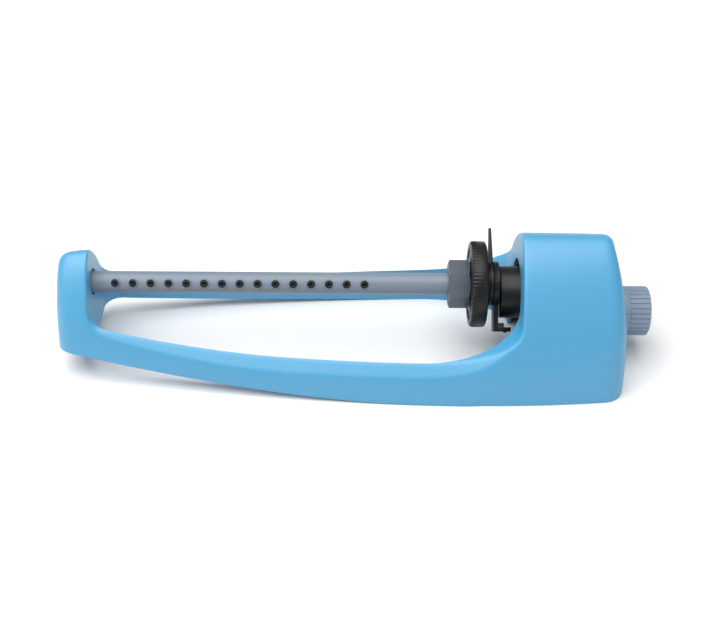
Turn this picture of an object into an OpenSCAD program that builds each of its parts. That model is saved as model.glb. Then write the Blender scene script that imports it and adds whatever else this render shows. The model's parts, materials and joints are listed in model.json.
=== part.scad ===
// Oscillating lawn sprinkler: a hollow sled frame with a water motor in its housing,
// a swinging spray tube, a flow dial, two stop rings and a swivelling hose nut.
// X runs from the head of the sled to the hose nut, Z is up, and the jets start towards -Y.

/* [Overall] */
// Length from the end of the head to the end of the hose nut
length = 414; // [340:1:500]
// Width of the sled across its feet
width = 130; // [112:1:156]
// Height of the housing above the ground
height = 96.5; // [88:0.1:118]

/* [Frame] */
// Thickness of the moulded walls
wall = 2.6; // [2:0.1:3.5]
// Width of the head at ground level
head_w = 80; // [70:1:92]
// Height of the head
head_h = 78.5; // [72:0.5:86]
// Length of the head along X
head_l = 24; // [20:0.1:30]
// Length of the housing along X
housing_l = 73.5; // [70:0.1:90]
// Footprint of one rail, outside to inside
rail_w = 12.5; // [10:0.5:16]
// Height of the rails at their lowest point
crest_low = 28; // [22:1:34]
// Lift of the underside at the head
belly_lift = 25; // [16:1:30]
// Radius of the arch in the housing wall
arch_r = 24; // [21:0.5:27]

/* [Spray tube] */
// Outer diameter of the spray tube
tube_d = 15.2; // [12:0.2:16]
// Wall of the spray tube
tube_wall = 2; // [1.5:0.1:2.6]
// Depth of the tube axis under the top of the housing
axis_drop = 40.5; // [37:0.5:44]
// Number of jets
jets = 15; // [9:2:19]
// Plain stretch of tube between the last jet and the nut
plain_l = 60; // [40:1:70]
// Outward lean of the end jets
fan = 12; // [6:1:18]
// Direction of the jets above the horizon at rest
jet_rise = 32; // [30:1:60]

/* [Controls] */
// Diameter of the flow dial
dial_d = 60; // [50:1:66]
// Thickness of the flow dial
dial_t = 11; // [8:0.1:13]
// Width of the coupling nut across its flats
nut_af = 29.2; // [26:0.2:32]
// Reach of the fin on the first stop ring
fin_reach = 39; // [33:1:44]
// Reach of the thumb tab on the second stop ring
tab_reach = 33; // [31:1:38]

/* [Inlet] */
// Depth of the inlet axis under the tube axis
inlet_drop = 23; // [19:0.1:26]
// Diameter of the hose nut
hose_d = 35; // [32:0.5:36]
// Length of the hose nut that stands out of the housing
hose_out = 20.5; // [19:0.5:26]
// Bore of the hose nut's 3/4 inch thread
thread_d = 26.4; // [24:0.1:27]

/* [Motor] */
// Radius of the gear case
case_r = 28; // [27:0.5:30]
// Wall of the gear case
case_wall = 2.4; // [2:0.1:3]
// Radius of the nose that carries the drive shaft
nose_r = 18.2; // [17.5:0.1:19.5]
// Gear module
tooth_m = 0.8; // [0.75:0.01:0.82]

/* [Hidden] */

$fn = 64;
run = 0.05;                       // running clearance of a shaft in its bore, on the radius
gap = 0.4;                        // free gap between parts that pass each other
skin_p = 1.55;                    // exponent of the tent-shaped cross-section
frame_l = length - hose_out;
x_head = -length / 2;             // outer end of the head
x_tail = x_head + frame_l;        // outer end of the housing
u_wall = frame_l - housing_l;     // distance of the housing wall from the head end
x_wall = x_head + u_wall;
u_low = 0.43 * frame_l;           // where the rails are lowest
u_wide = 0.757 * frame_l;         // where the sled is widest
u_belly = 0.674 * frame_l;        // where the underside meets the ground
tail_in = 5.5;                    // narrowing of the sled behind its widest point
tail_lean = 10;                   // lean of the end wall at the top
head_lean = 2;
end_r = 13;                       // upright corner radius at both ends
top_r = 8;                        // radius between an end wall and the top
crest_head = 11;                  // rise of the rails towards the head
crest_house = 10;                 // rise of the rails towards the housing
fillet_head = 10;
fillet_house = 14;
slot_r = 14;                      // inner corner radius of the loop, seen from above
sweep_l = 62;                     // length of the sweep from the rails into the arch
rail_fall = 42;                   // outward slope of the rail tops
keel = 0.2;                       // how much lower the underside is at the inside of the rails
side_reach = width / 2 + 5;
axis_z = height - axis_drop;
inlet_z = axis_z - inlet_drop;
tube_r = tube_d / 2;

// Stations along the drive line, all measured from the housing wall
x_case = x_wall + 12.4;           // open rim of the gear case
case_l = 44.6;                    // depth of the gear case
case_z = axis_z - 10;             // centre of the gear case
nose_z = axis_z - 6.8;            // centre of the nose
x_nose = x_wall - 12.4;           // face of the nose
x_fin = x_nose - 7.8;             // first stop ring
fin_t = 2.8;
x_tab = x_fin + fin_t + 0.3;      // second stop ring
tab_t = 3.3;
dial_hub = 2.2;                   // length of the hub behind the dial
x_dial = x_fin - 0.2 - dial_hub - dial_t;
nut_l = 14.6;
x_nut = x_dial - 0.2 - nut_l;
nut_lip = 5.5;                    // lip of the nut around the tube
shaft_r = 8;
shaft_bore = 5;
x_plate = x_case + 10;            // bearing plate
plate_t = 2;
x_out = x_plate + plate_t + 1;    // output gear
out_t = 7;
x_shaft_end = x_out + out_t + 1;
x_big = x_out + out_t + 3.6;      // large gear of the idler
big_t = 5;
x_turb = x_big + big_t + 3;       // turbine wheel
turb_t = 8;
turb_r = 11;
x_case_end = x_case + case_l;

// Gear train, from the turbine up to the drive shaft
n_pin = 10;
n_big = 30;
n_out = 32;
d_low = tooth_m * (n_pin + n_big) / 2;
d_high = tooth_m * (n_pin + n_out) / 2;
idler_up = (d_low * d_low - d_high * d_high + inlet_drop * inlet_drop) / (2 * inlet_drop);
idler_y = sqrt(d_low * d_low - idler_up * idler_up);
idler_z = inlet_z + idler_up;
mesh_low = atan2(idler_up, idler_y);
mesh_high = atan2(axis_z - idler_z, -idler_y);
pin_r = 1.5;                      // steel axles and the turbine shaft
lever_y = -16;
lever_z = case_z + 4;
spring_y = -22.4;
spring_t = 0.6;

// Spray tube and its jets
bush_r = 9.4;
bush_l = 10;
x_bush = x_head + head_l - bush_l;
x_tube = x_bush - 1;
x_tube_end = x_nut + nut_lip + 2;
flange_r = 9.5;
jet_first = x_head + head_l + 18.5;
jet_pitch = (x_nut - plain_l - jet_first) / (jets - 1);
stub_r = 3.4;
stub_up = 0.9;                    // height of a jet stub above the tube
insert_r = 2.8;
insert_up = 0.8;
jet_r = 0.6;

// Hose end
x_nut_in = x_tail + 0.8;          // inner end of the hose nut
hose_lip = 5;
spigot_r = 11;
spigot_bore = 8;
collar_r = thread_d / 2 - gap;
collar_t = 2.5;
washer_t = 2.5;
x_collar = x_nut_in + hose_lip + 0.2;
thread_l = length / 2 - (x_collar + collar_t + washer_t);

function flip(pts) = [for (i = [len(pts) - 1:-1:0]) pts[i]];
function arc(cx, cy, r, a, b, n) =
  [for (i = [0:n]) [cx + r * cos(a + (b - a) * i / n), cy + r * sin(a + (b - a) * i / n)]];
function steps(a, b, n) = [for (i = [0:n]) a + (b - a) * i / n];

// How far a rounded end draws a face in, at distance u along the frame
function end_in(u, r) =
  let (d = min(u, frame_l - u)) d >= r ? 0 : r - sqrt(max(0, r * r - (r - d) * (r - d)));

// Half width at ground level and height of the outer skin
function foot_half(u) =
  head_w / 2 + (width - head_w) / 2 * sin(90 * min(1, u / u_wide))
  - tail_in * pow(max(0, (u - u_wide) / (frame_l - u_wide)), 2);
function top_h(u) = head_h + (height - head_h) * pow(min(1, u / u_wide), 0.6);

// Underside and upper edge of the rails
function belly(u) = belly_lift * pow(max(0, (u_belly - u) / u_belly), 1.75);
function crest(u) =
  u < u_low ? crest_low + crest_head * pow((u_low - u) / (u_low - head_l - 15), 2)
            : crest_low + crest_house * pow((u - u_low) / (u_wall - 15 - u_low), 7);

// One cross-section of the skin, as points in X, Y and Z, drawn in by t
ring_n = 18;
function lean(u, k) =
  (u > u_wide ? -tail_lean * (u - u_wide) / (frame_l - u_wide) : head_lean * (1 - u / u_wide)) * pow(k, 3);
function ring(u, t) =
  let (v = t + u * (frame_l - 2 * t) / frame_l,
       b = foot_half(v) - end_in(u, end_r) - t,
       h = top_h(v) - end_in(u, top_r) - t)
  concat([[x_head + v, b, t > 0 ? -1 : 0]],
         [for (i = [t > 0 ? 0 : 1:ring_n - (t > 0 ? 0 : 1)])
            let (a = 180 * i / ring_n, c = cos(a), s = max(0, sin(a)),
                 y = b * sign(c) * pow(abs(c), 2 / skin_p), k = pow(s, 2 / skin_p))
            [x_head + v + lean(v, k), y, h * k]],
         [[x_head + v, -b, t > 0 ? -1 : 0]]);

stations = concat([for (i = [0:4]) end_r * (1 - cos(90 * i / 4))],
                  steps(end_r + 20, frame_l - end_r - 20, 10),
                  [for (i = [4:-1:0]) frame_l - end_r * (1 - cos(90 * i / 4))]);

// A solid through closed sections that follow each other along X; cap lists the faces of an end
fold_cap = [[0, 1, 2], [0, 2, 3], [0, 3, 5], [3, 4, 5]];
module loft(rows, cap) {
  m = len(rows[0]);
  n = len(rows);
  polyhedron(
    points = [for (r = rows) each r],
    faces = concat(
      [for (j = [0:n - 2]) for (i = [0:m - 1])
         [(j + 1) * m + (i + 1) % m, j * m + (i + 1) % m, j * m + i]],
      [for (j = [0:n - 2]) for (i = [0:m - 1])
         [(j + 1) * m + i, (j + 1) * m + (i + 1) % m, j * m + i]],
      cap,
      [for (f = cap) flip([for (i = f) (n - 1) * m + i])]));
}

module skin(t) {
  rows = [for (u = stations) ring(u, t)];
  loft(rows, [[for (i = [0:len(rows[0]) - 1]) i]]);
}

// A shape drawn in X and Z, carried right through along Y
module side_cut(pts, half) {
  translate([x_head, half, 0]) rotate([90, 0, 0]) linear_extrude(2 * half) polygon(pts);
}

// Everything above the rails, between the head and the housing, grown by g.
// The cutter falls away outwards over the rails.
module above_rails(g) {
  rh = fillet_head + g;
  rt = fillet_house + g;
  uh = head_l - g + rh - rh * cos(80);
  ut = u_wall + g - rt + rt * cos(55);
  edge = concat(
    arc(head_l - g + rh, crest(uh) - g + rh * sin(80), rh, 180, 260, 6),
    [for (u = steps(uh + 8, ut - 7, 13)) [u, crest(u) - g]],
    arc(u_wall + g - rt, crest(ut) - g + rt * sin(55), rt, -55, 0, 6));
  top = height + 5;
  loft([for (p = edge)
    let (x = x_head + p[0], y = foot_half(p[0]) - rail_w - g * tan(rail_fall / 2),
         low = p[1] - (side_reach - y) * tan(rail_fall))
    [[x, y, p[1]], [x, side_reach, low], [x, side_reach, top],
     [x, -side_reach, top], [x, -side_reach, low], [x, -y, p[1]]]], fold_cap);
}

// Everything under the rails and the head
module under_belly() {
  loft([for (u = steps(-1, u_belly, 12))
    let (x = x_head + u, y = foot_half(max(0, u)) - rail_w, b = belly(max(0, u)),
         out = b * (1 - keel + keel * (side_reach - y) / rail_w), mid = b * (1 - keel))
    [[x, side_reach, -3], [x, side_reach, out], [x, y, mid],
     [x, -y, mid], [x, -side_reach, out], [x, -side_reach, -3]]], fold_cap);
}

// The opening between the rails, seen from above, grown by g.
// It sweeps in towards the arch of the housing wall.
module between_rails(g) {
  r = slot_r;
  a = head_l - g;
  u_turn = u_wall - sweep_l;
  turn_y = foot_half(u_turn) - rail_w;
  edge = concat(
    arc(a + r, foot_half(a + r) - rail_w + g - r, r, 180, 90, 6),
    [for (u = steps(a + r + 14, u_turn - 14, 7)) [u, foot_half(u) - rail_w + g]],
    [for (t = steps(0, 90, 10))
       [u_turn + (sweep_l + g) * sin(t), arch_r + g + (turn_y - arch_r) * cos(t)]]);
  translate([x_head, 0, -2])
    linear_extrude(height) polygon(concat(edge, flip([for (p = edge) [p[0], -p[1]]])));
}

module loop_opening(g) {
  above_rails(g);
  between_rails(g);
}

// Puts a shape drawn in the plane into the YZ plane and extrudes it along X
module axial(x, y, z) {
  translate([x, y, z]) rotate([90, 0, 90]) children();
}

module rod(x, y, z, r, l) {
  axial(x, y, z) cylinder(r = r, h = l);
}

module tube(x, y, z, r, bore, l) {
  difference() {
    rod(x, y, z, r, l);
    rod(x - 1, y, z, bore, l + 2);
  }
}

// Screw bosses of the housing, near its four corners
boss_r = 5.2;
boss_h = 12;
cover_t = 2.5;
screw_r = 1.6;
u_boss_a = u_wall + 22;
u_boss_b = frame_l - wall - 3.6;
boss_a_y = foot_half(u_boss_a) - wall - 5.5;
bosses = [[u_boss_a, boss_a_y], [u_boss_a, -boss_a_y], [u_boss_b, 30], [u_boss_b, -30]];

module frame_bosses() {
  for (b = bosses)
    translate([x_head + b[0], b[1], cover_t + 0.2]) difference() {
      cylinder(r = boss_r, h = boss_h, $fn = 24);
      translate([0, 0, -1]) cylinder(r = screw_r, h = boss_h, $fn = 16);
    }
}

// Foot under the head, which carries the raised end of the sled
foot_w = 16;
module heel() {
  side_cut([[6, 0], [18, 0], [head_l - 1, 18], [head_l - 1, axis_z - bush_r - 3],
            [2, axis_z - bush_r - 3], [2, 18]], foot_w / 2);
}

module frame() color([0.35, 0.75, 0.92]) {
  difference() {
    union() {
      difference() {
        skin(0);
        loop_opening(0);
        difference() {
          skin(wall);
          loop_opening(wall);
        }
        under_belly();
      }
      frame_bosses();
      heel();
    }
    rod(x_wall - 3, 0, nose_z, arch_r, wall + 6);
    translate([x_wall - 3, -arch_r, -1]) cube([wall + 6, 2 * arch_r, nose_z + 1]);
    rod(x_head + head_l - wall - 2, 0, axis_z, bush_r, wall + 4);
    rod(x_tail - 12, 0, inlet_z, spigot_r + gap, 16);
  }
}

// Plate that closes the housing from below, with a saddle for the gear case
module base_cover() color([0.10, 0.10, 0.11]) {
  a = u_wall + 15;
  inset = wall + 1;
  b = frame_l - inset;
  saddle_x = x_case + 12;
  edge = concat(
    [for (u = steps(a, b - end_r, 6)) [u, foot_half(u) - inset]],
    arc(b - end_r, foot_half(b - end_r) - inset - end_r, end_r, 90, 0, 5));
  difference() {
    union() {
      translate([x_head, 0, 0])
        linear_extrude(cover_t) polygon(concat(edge, flip([for (p = edge) [p[0], -p[1]]])));
      for (k = [0, 20])
        translate([saddle_x + k, -16, cover_t]) cube([3, 32, case_z - cover_t]);
    }
    rod(x_case - 5, 0, case_z, case_r, case_l + 20);
    for (s = bosses) {
      translate([x_head + s[0], s[1], -1]) cylinder(r = screw_r + 0.2, h = cover_t + 2);
      translate([x_head + s[0], s[1], -1]) cylinder(r = 3.3, h = 2);
    }
  }
}

module cover_screws() color([0.7, 0.7, 0.72]) {
  for (s = bosses)
    translate([x_head + s[0], s[1], 0]) difference() {
      union() {
        translate([0, 0, 0.2]) cylinder(r = 3, h = 0.8);
        translate([0, 0, 0.6]) cylinder(r = screw_r, h = 12);
      }
      for (t = [0, 90]) rotate([0, 0, t]) translate([-1.6, -0.3, 0]) cube([3.2, 0.6, 0.8]);
    }
}

// Bearing bush of the free end of the tube
module end_bush() color([0.25, 0.27, 0.30]) {
  difference() {
    union() {
      rod(x_bush, 0, axis_z, bush_r, bush_l - 0.8);
      rod(x_head + head_l - wall - 1.3, 0, axis_z, bush_r + 1.6, 1.2);
    }
    rod(x_bush - 1, 0, axis_z, tube_r + run, bush_l + 6);
  }
}

module case_bolts(r, x, l) {
  for (a = [45:90:315])
    rod(x, (case_r - 4.4) * cos(a), case_z + (case_r - 4.4) * sin(a), r, l);
}

module gear_case() color([0.16, 0.16, 0.18]) {
  difference() {
    rod(x_case, 0, case_z, case_r, case_l + case_wall);
    difference() {
      rod(x_case - 1, 0, case_z, case_r - case_wall, case_l + 1);
      case_bolts(3.2, x_case - 2, 8);
    }
    case_bolts(1.2, x_case - 2, 7.5);
    rod(x_case, 0, inlet_z, 4, case_l + 8);
  }
}

module gear_case_cover() color([0.12, 0.12, 0.13]) {
  face = 2.4;
  plate_x = x_case - 0.6 - face;
  difference() {
    union() {
      rod(plate_x, 0, case_z, case_r, face);
      rod(x_nose, 0, nose_z, nose_r, plate_x - x_nose + 0.1);
    }
    difference() {
      rod(x_nose + 2.4, 0, nose_z, nose_r - 2.4, plate_x - x_nose + 4);
      rod(x_nose + 2, 0, axis_z, shaft_r + 2.2, 8);
    }
    rod(x_nose - 1, 0, axis_z, shaft_r + run, 12);
    case_bolts(1.5, plate_x - 1, 5);
  }
}

module case_gasket() color([0.05, 0.05, 0.05]) {
  difference() {
    rod(x_case - 0.6, 0, case_z, case_r, 0.6);
    difference() {
      rod(x_case - 2, 0, case_z, case_r - case_wall, 4);
      case_bolts(3.2, x_case - 2, 4);
    }
    case_bolts(1.5, x_case - 2, 4);
  }
}

module case_screws() color([0.72, 0.72, 0.74]) {
  case_bolts(1.2, x_case - 3, 8.5);
  case_bolts(2.2, x_case - 5.2, 2.2);
}

// Plate across the gear case that holds the front ends of the axles
module bearing_plate() color([0.85, 0.85, 0.80]) {
  difference() {
    rod(x_plate, 0, case_z, case_r - case_wall, plate_t);
    rod(x_plate - 1, 0, axis_z, shaft_r + run, plate_t + 2);
    rod(x_plate - 1, 0, inlet_z, pin_r + run, plate_t + 2);
    rod(x_plate - 1, idler_y, idler_z, pin_r, plate_t + 2);
    rod(x_plate - 1, lever_y, lever_z, pin_r, plate_t + 2);
  }
}

module inlet_spigot() color([0.18, 0.18, 0.20]) {
  x_in = x_case_end + case_wall;
  difference() {
    union() {
      rod(x_in, 0, inlet_z, spigot_r, x_collar - x_in);
      rod(x_in, 0, inlet_z, spigot_r + 3, 3);
      rod(x_collar, 0, inlet_z, collar_r, collar_t);
    }
    rod(x_in + 2, 0, inlet_z, spigot_bore, length);
    rod(x_in - 1, 0, inlet_z, 4, 4);
  }
}

module inlet_filter() color([0.82, 0.84, 0.86]) {
  x_f = x_collar - 9;
  difference() {
    union() {
      rod(x_f, 0, inlet_z, spigot_bore - 0.2, 1);
      tube(x_f, 0, inlet_z, spigot_bore - 0.2, spigot_bore - 1.4, 9);
    }
    for (r = [2, 5], a = [0:45:315])
      rod(x_f - 1, r * cos(a), inlet_z + r * sin(a), 0.6, 3);
  }
}

module idler_axle() color([0.75, 0.76, 0.78]) {
  rod(x_plate, idler_y, idler_z, pin_r, x_case_end - x_plate);
}

module trip_axle() color([0.75, 0.76, 0.78]) {
  rod(x_plate, lever_y, lever_z, pin_r, x_case_end - x_plate);
}

// Flat spring that lies across the case beside the trip lever
module detent_spring() color([0.80, 0.80, 0.82]) {
  r = case_r - case_wall;
  half = sqrt(r * r - spring_y * spring_y) - 0.02;
  translate([x_big, spring_y, case_z - half]) cube([3, spring_t, 2 * half]);
}

// Jets: each stands on the tube, turned to the front and leaning along it
module at_jets() {
  for (i = [0:jets - 1])
    translate([jet_first + i * jet_pitch, 0, axis_z])
      rotate([90 - jet_rise, 0, 0])
        rotate([0, fan * (2 * i / (jets - 1) - 1), 0])
          children();
}

module spray_tube() color([0.60, 0.65, 0.69]) {
  difference() {
    union() {
      rod(x_tube, 0, axis_z, tube_r, x_tube_end - x_tube);
      rod(x_tube_end - 2, 0, axis_z, flange_r, 2);
      at_jets() cylinder(r = stub_r, h = tube_r + stub_up, $fn = 32);
    }
    rod(x_tube - 1, 0, axis_z, tube_r - tube_wall, x_tube_end - x_tube + 2);
    at_jets() translate([0, 0, 2]) cylinder(r = insert_r, h = tube_r + 2, $fn = 32);
  }
}

module jet_inserts() color([0.08, 0.08, 0.09]) {
  at_jets() translate([0, 0, tube_r - tube_wall]) difference() {
    cylinder(r = insert_r, h = tube_wall + stub_up + insert_up, $fn = 32);
    translate([0, 0, -1]) cylinder(r = jet_r, h = tube_wall + 6, $fn = 16);
  }
}

module tube_plug() color([0.12, 0.12, 0.13]) {
  difference() {
    union() {
      rod(x_tube - 2, 0, axis_z, tube_r - 0.4, 2);
      rod(x_tube - 0.1, 0, axis_z, tube_r - tube_wall - 0.1, 8);
    }
    tube(x_tube + 3, 0, axis_z, tube_r, tube_r - tube_wall - 1.1, 1.4);
    translate([x_tube - 3, -0.6, axis_z - tube_r]) cube([1.8, 1.2, tube_d]);
  }
}

module ring_seal(x, z, mid, r) {
  translate([x, 0, z]) rotate([0, 90, 0]) rotate_extrude() translate([mid, 0]) circle(r = r, $fn = 24);
}

module plug_seal() color([0.05, 0.05, 0.05]) {
  ring_seal(x_tube + 3.7, axis_z, tube_r - tube_wall - 0.56, 0.54);
}

module coupling_nut() color([0.52, 0.55, 0.59]) {
  difference() {
    axial(x_nut, 0, axis_z) rotate([0, 0, 56.4]) cylinder(r = nut_af / sqrt(3), h = nut_l, $fn = 6);
    rod(x_nut - 1, 0, axis_z, tube_r + 0.1, nut_l + 2);
    rod(x_nut + nut_lip, 0, axis_z, flange_r + 0.2, nut_l);
  }
}

module coupling_seal() color([0.05, 0.05, 0.05]) {
  tube(x_tube_end, 0, axis_z, flange_r, tube_r - tube_wall, 1.5);
}

module drive_shaft() color([0.20, 0.20, 0.22]) {
  x_a = x_tube_end + 1.5;
  difference() {
    union() {
      rod(x_a, 0, axis_z, flange_r + 0.2, x_nut + nut_l - x_a);
      rod(x_a, 0, axis_z, shaft_r, x_shaft_end - x_a);
    }
    rod(x_a - 1, 0, axis_z, shaft_bore, x_shaft_end - x_a + 2);
    tube(x_nose + 4, 0, axis_z, shaft_r + 1, shaft_r - 1.2, 2);
  }
}

module shaft_seal() color([0.05, 0.05, 0.05]) {
  ring_seal(x_nose + 5, axis_z, shaft_r - 0.62, 0.58);
}

// Involute gear outline: n teeth, turned so that a tooth points along angle a
press_a = 25;
backlash = 0.07;
function inv(a) = tan(a) * 180 / PI - a;
function flank(r, n) =
  let (rp = tooth_m * n / 2, rb = rp * cos(press_a))
  90 / n - backlash / rp * 57.3 + inv(press_a) - inv(acos(min(1, rb / max(r, rb))));
function gear_pts(n, a) =
  let (rp = tooth_m * n / 2, rt = rp + 0.9 * tooth_m, rf = rp - 1.2 * tooth_m,
       rr = [rf, max(rf + 0.05, rp * cos(press_a)), rp, (rp + rt) / 2, rt])
  [for (i = [0:n - 1])
     each concat([for (r = rr) polar(r, a + 360 * i / n - flank(r, n))],
                 [for (r = flip(rr)) polar(r, a + 360 * i / n + flank(r, n))])];
function polar(r, a) = [r * cos(a), r * sin(a)];

module gear(x, y, z, n, a, t) {
  axial(x, y, z) linear_extrude(t) polygon(gear_pts(n, a));
}

module output_gear() color([0.92, 0.92, 0.88]) {
  difference() {
    gear(x_out, 0, axis_z, n_out, mesh_high + 180 + 180 / n_out, out_t);
    rod(x_out - 1, 0, axis_z, shaft_r, out_t + 2);
  }
}

module idler_gear() color([0.92, 0.92, 0.88]) {
  difference() {
    union() {
      gear(x_out, idler_y, idler_z, n_pin, mesh_high, x_big - x_out + 0.01);
      gear(x_big, idler_y, idler_z, n_big, mesh_low + 180 + 180 / n_big, big_t);
    }
    rod(x_out - 1, idler_y, idler_z, pin_r + run, 40);
  }
}

module turbine_pinion() color([0.92, 0.92, 0.88]) {
  gear(x_big - 0.5, 0, inlet_z, n_pin, mesh_low, big_t + 1);
  rod(x_plate - 2, 0, inlet_z, pin_r, x_turb + turb_t + 1 - x_plate + 2);
}

module turbine_wheel() color([0.85, 0.86, 0.84]) {
  blades = 10;
  difference() {
    union() {
      rod(x_turb, 0, inlet_z, 4, turb_t);
      rod(x_turb, 0, inlet_z, turb_r, 1);
      for (i = [0:blades - 1])
        axial(x_turb, 0, inlet_z) rotate([0, 0, 360 * i / blades])
          translate([3.6, -0.5, 0]) cube([turb_r - 4, 1, turb_t]);
    }
    rod(x_turb - 1, 0, inlet_z, pin_r, turb_t + 2);
  }
}

// Lever that turns the water jet to the other side of the turbine
module trip_lever() color([0.88, 0.45, 0.15]) {
  x_a = x_out + out_t + 1.5;
  l = 9;
  difference() {
    union() {
      rod(x_a, lever_y, lever_z, 3.2, l);
      translate([x_a, lever_y - 1.5, lever_z]) cube([2, 3, 11]);
      translate([x_a + l - 3, lever_y - 1.5, lever_z - 14]) cube([3, 3, 14]);
    }
    rod(x_a - 1, lever_y, lever_z, pin_r + run, l + 2);
  }
}

// Dial with chamfered rims, a row of fine notches on the outer rim and a short hub
module flow_dial() color([0.10, 0.10, 0.11]) {
  grips = 48;
  c = 1.6;
  hub_r = 13.8;
  dial_r = dial_d / 2;
  difference() {
    axial(x_dial, 0, axis_z) rotate_extrude($fn = 96)
      polygon([[shaft_r + run, 0], [dial_r - c, 0], [dial_r, c], [dial_r, dial_t - c],
               [dial_r - c, dial_t], [hub_r, dial_t], [hub_r, dial_t + dial_hub],
               [shaft_r + run, dial_t + dial_hub]]);
    axial(x_dial - 1, 0, axis_z)
      for (i = [0:grips - 1]) rotate([0, 0, 360 * i / grips])
        translate([dial_r - 0.2, 0, 0]) cylinder(r = 0.9, h = c + 1.8, $fn = 6);
  }
}

fin_a = 50;                       // directions of the two tabs in the YZ plane
tab_a = 230;
module stop_ring_fin() color([0.10, 0.10, 0.11]) {
  difference() {
    union() {
      rod(x_fin, 0, axis_z, 15, fin_t);
      translate([x_fin, 0, axis_z]) rotate([fin_a, 0, 0]) translate([0, 0, 4])
        rotate([180, 0, 0]) linear_extrude(8) polygon([
          [0, -12], [fin_t, -12], [fin_t, -16], [1.4, -fin_reach], [0, -fin_reach]]);
    }
    rod(x_fin - 1, 0, axis_z, shaft_r + run, fin_t + 2);
  }
}

// Ring with a rounded thumb pad that reaches back over the nose
module stop_ring_thumb() color([0.10, 0.10, 0.11]) {
  inner = nose_r + (axis_z - nose_z) + 1.4;
  tab_w = 13;
  pad_l = 12.5;
  corner = 4;
  difference() {
    union() {
      rod(x_tab, 0, axis_z, 16, tab_t);
      translate([x_tab, 0, axis_z]) rotate([tab_a, 0, 0]) {
        translate([0, 10, -tab_w / 2]) cube([tab_t, tab_reach - 12, tab_w]);
        translate([0, tab_reach, 0]) rotate([90, 0, 0]) linear_extrude(3)
          polygon(concat([[0, -tab_w / 2]],
                         arc(pad_l - corner, corner - tab_w / 2, corner, -90, 0, 6),
                         arc(pad_l - corner, tab_w / 2 - corner, corner, 0, 90, 6),
                         [[0, tab_w / 2]]));
        translate([0, inner, -1.4]) cube([8, tab_reach - inner - 1, 2.8]);
        translate([8.5, tab_reach - 0.2, 2.5 - tab_w / 2]) cylinder(r = 1, h = tab_w - 5, $fn = 24);
      }
    }
    rod(x_tab - 1, 0, axis_z, shaft_r + run, tab_t + 2);
  }
}

module hose_nut() color([0.50, 0.57, 0.64]) {
  ribs = 30;
  x_end = length / 2;
  r = hose_d / 2;
  difference() {
    union() {
      rod(x_nut_in, 0, inlet_z, r - 0.8, x_end - x_nut_in);
      rod(x_nut_in + 0.6, 0, inlet_z, r, 3.4);
      axial(x_nut_in + 2, 0, inlet_z)
        for (i = [0:ribs - 1]) rotate([0, 0, 360 * i / ribs])
          translate([r - 1.6, -0.9, 0]) cube([1.6, 1.8, x_end - x_nut_in - 3.5]);
    }
    rod(x_nut_in - 1, 0, inlet_z, spigot_r + run, hose_lip + 2);
    rod(x_nut_in + hose_lip, 0, inlet_z, thread_d / 2 + 0.4, collar_t + washer_t + 0.2);
    rod(x_end - thread_l, 0, inlet_z, thread_d / 2, thread_l + 1);
  }
}

module hose_washer() color([0.06, 0.06, 0.06]) {
  tube(x_collar + collar_t + 0.1, 0, inlet_z, collar_r, spigot_bore, washer_t - 0.2);
}

frame();
base_cover();
cover_screws();
end_bush();
gear_case();
gear_case_cover();
case_gasket();
case_screws();
bearing_plate();
inlet_spigot();
inlet_filter();
idler_axle();
trip_axle();
detent_spring();
spray_tube();
jet_inserts();
tube_plug();
plug_seal();
coupling_nut();
coupling_seal();
drive_shaft();
shaft_seal();
output_gear();
flow_dial();
stop_ring_fin();
stop_ring_thumb();
turbine_wheel();
turbine_pinion();
idler_gear();
trip_lever();
hose_nut();
hose_washer();
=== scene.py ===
"""Oscillating sprinkler: the moulded sled, spray tube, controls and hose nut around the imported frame."""

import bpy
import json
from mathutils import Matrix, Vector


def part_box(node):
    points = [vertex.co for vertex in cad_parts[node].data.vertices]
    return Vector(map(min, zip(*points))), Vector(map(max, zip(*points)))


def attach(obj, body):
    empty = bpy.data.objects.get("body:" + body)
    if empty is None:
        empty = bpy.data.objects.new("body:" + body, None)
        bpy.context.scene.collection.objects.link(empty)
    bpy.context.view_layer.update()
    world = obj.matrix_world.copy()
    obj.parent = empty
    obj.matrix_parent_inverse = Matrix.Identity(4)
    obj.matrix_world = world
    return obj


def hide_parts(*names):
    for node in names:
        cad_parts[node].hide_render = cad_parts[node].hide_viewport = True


bl_info = {
    "name": "Oscillating Sprinkler",
    "version": (1, 0, 0),
    "blender": (4, 5, 0),
    "location": "View3D > Sidebar > Sprinkler",
    "description": "Models a lawn sprinkler piece by piece around its packed frame",
    "category": "Object",
}

import json
import math

import bpy
from bpy.props import FloatProperty, FloatVectorProperty, IntProperty, PointerProperty
from bpy.types import Operator, Panel, PropertyGroup
from mathutils import Matrix, Vector

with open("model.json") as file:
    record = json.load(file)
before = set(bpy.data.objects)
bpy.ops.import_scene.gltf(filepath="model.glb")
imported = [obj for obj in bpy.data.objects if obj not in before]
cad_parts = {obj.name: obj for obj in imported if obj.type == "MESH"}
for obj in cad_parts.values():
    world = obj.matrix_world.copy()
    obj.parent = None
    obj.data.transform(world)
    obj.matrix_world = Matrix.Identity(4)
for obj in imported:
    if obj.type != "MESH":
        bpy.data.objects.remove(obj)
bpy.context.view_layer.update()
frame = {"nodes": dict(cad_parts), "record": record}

MM = 0.001

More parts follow.
